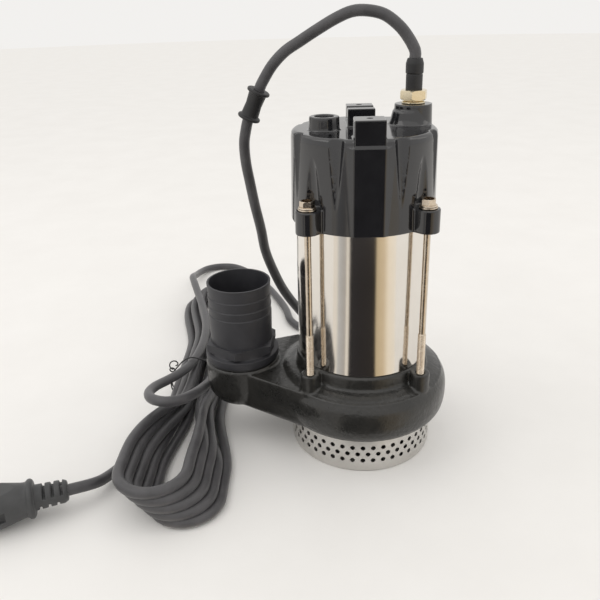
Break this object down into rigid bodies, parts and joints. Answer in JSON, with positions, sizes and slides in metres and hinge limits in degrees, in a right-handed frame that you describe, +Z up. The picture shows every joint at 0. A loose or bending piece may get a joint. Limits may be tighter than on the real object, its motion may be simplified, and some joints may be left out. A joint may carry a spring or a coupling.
{
  "type": "submersible sump pump",
  "caption": "Upright submersible pump: stainless motor barrel between a black cap and a cast volute, side hose tail, perforated strainer foot, and a hanked supply cord with plug.",
  "frame": {"origin": "centre of the strainer's flat bottom, on the motor's axis", "axes": "+Z up along the motor's axis, the discharge and hose tail on the -X side"},
  "size_m": [0.4463, 0.6268, 0.42],
  "materials": {
    "black_casting": "gloss paint over a rough casting",
    "cap_gloss": "high gloss",
    "polished_stainless": "polished, faintly brushed round",
    "satin_stainless": "satin",
    "bearing_steel": "ground",
    "laminated_iron": "dull",
    "impeller_iron": "cast",
    "raw_aluminium": "cast",
    "copper_winding": "varnished",
    "pale_brass": "bright",
    "black_plastic": "matte",
    "grey_rubber": "matte",
    "black_rubber": "matte",
    "ceramic": "lapped",
    "pale_plastic": "smooth"
  },
  "bodies": {
    "housing": {"strainer": "satin_stainless", "suction_cover": "black_casting", "strainer_screw_1": "polished_stainless", "strainer_screw_2": "polished_stainless", "strainer_screw_3": "polished_stainless", "volute_casing": "black_casting", "seal_seat": "ceramic", "bearing_bracket": "raw_aluminium", "o_ring_lower": "black_rubber", "o_ring_upper": "black_rubber", "lower_bearing_outer_race": "bearing_steel", "upper_bearing_outer_race": "bearing_steel", "stator_core": "laminated_iron", "stator_winding_lower": "copper_winding", "stator_winding_upper": "copper_winding", "motor_barrel": "polished_stainless", "upper_bracket": "raw_aluminium", "top_cap": "cap_gloss", "vent_plug": "cap_gloss", "capacitor": "pale_plastic", "tie_bolt_1": "polished_stainless", "tie_bolt_2": "polished_stainless", "tie_bolt_3": "polished_stainless", "tie_bolt_4": "polished_stainless", "tie_bolt_washer_1": "polished_stainless", "tie_bolt_washer_2": "polished_stainless", "tie_bolt_washer_3": "polished_stainless", "tie_bolt_washer_4": "polished_stainless", "outlet_gasket": "black_rubber", "hose_connector": "black_plastic", "gland_body": "pale_brass", "gland_nut": "pale_brass", "gland_sleeve": "black_rubber", "cord_arch": "grey_rubber", "cord_bobbin": "black_rubber", "cord_fall": "grey_rubber", "cord_hank": "grey_rubber", "twist_tie": "black_rubber", "cord_lead": "grey_rubber", "plug": "grey_rubber", "plug_pin_a": "polished_stainless", "plug_pin_b": "polished_stainless"},
    "rotor": {"shaft": "polished_stainless", "impeller": "impeller_iron", "impeller_nut": "polished_stainless", "seal_rotating_ring": "bearing_steel", "lower_bearing_inner_race": "bearing_steel", "upper_bearing_inner_race": "bearing_steel", "rotor_core": "laminated_iron"}
  },
  "joints": [
    {"name": "rotor_spin", "type": "hinge", "parent": "housing", "child": "rotor", "pos_m": [0, 0, 0.1], "axis": [0, 0, 1], "continuous": true}
  ]
}
